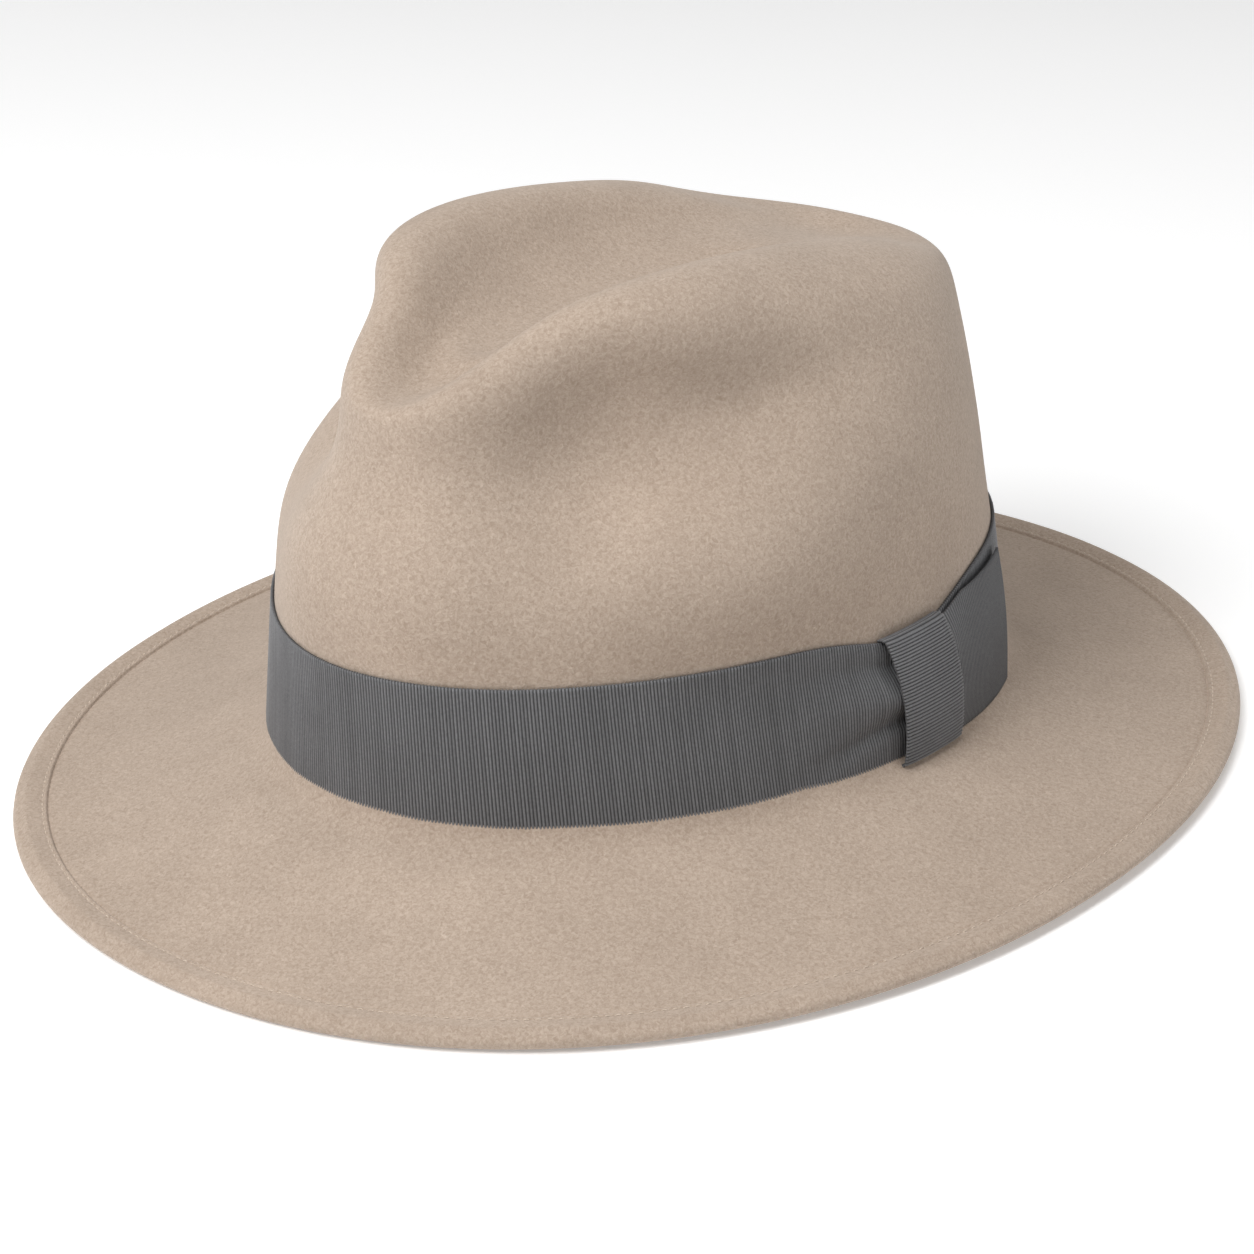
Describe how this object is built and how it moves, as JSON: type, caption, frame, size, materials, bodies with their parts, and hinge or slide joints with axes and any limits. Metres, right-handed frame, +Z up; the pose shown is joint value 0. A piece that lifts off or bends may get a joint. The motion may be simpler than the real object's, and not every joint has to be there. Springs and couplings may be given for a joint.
{
  "type": "pinch-front fedora hat",
  "caption": "Felt fedora with a pinched teardrop crown, a stitched welt on the brim, a ribbon band with a flat side bow, a leather sweatband and a satin lining.",
  "frame": {"origin": "on the resting plane, under the middle of the brim oval", "axes": "+Z up, -Y the front of the hat, +X the wearer's left, where the bow is"},
  "size_m": [0.2944, 0.34, 0.1425],
  "materials": {
    "felt": "short brushed fur felt",
    "thread": "matte thread",
    "grosgrain": "ribbed, slight sheen",
    "satin": "satin sheen",
    "leather": "smooth",
    "reed_cover": "matte"
  },
  "bodies": {
    "root": {"felt_body": "felt", "brim_stitching": "thread", "hatband": "grosgrain", "bow_knot": "grosgrain", "bow_tail": "grosgrain", "lining_side": "satin", "lining_tip": "satin", "sweatband": "leather", "sweatband_reed": "reed_cover", "sweatband_stitching": "thread", "sweatband_rear_bow": "grosgrain"}
  },
  "joints": []
}
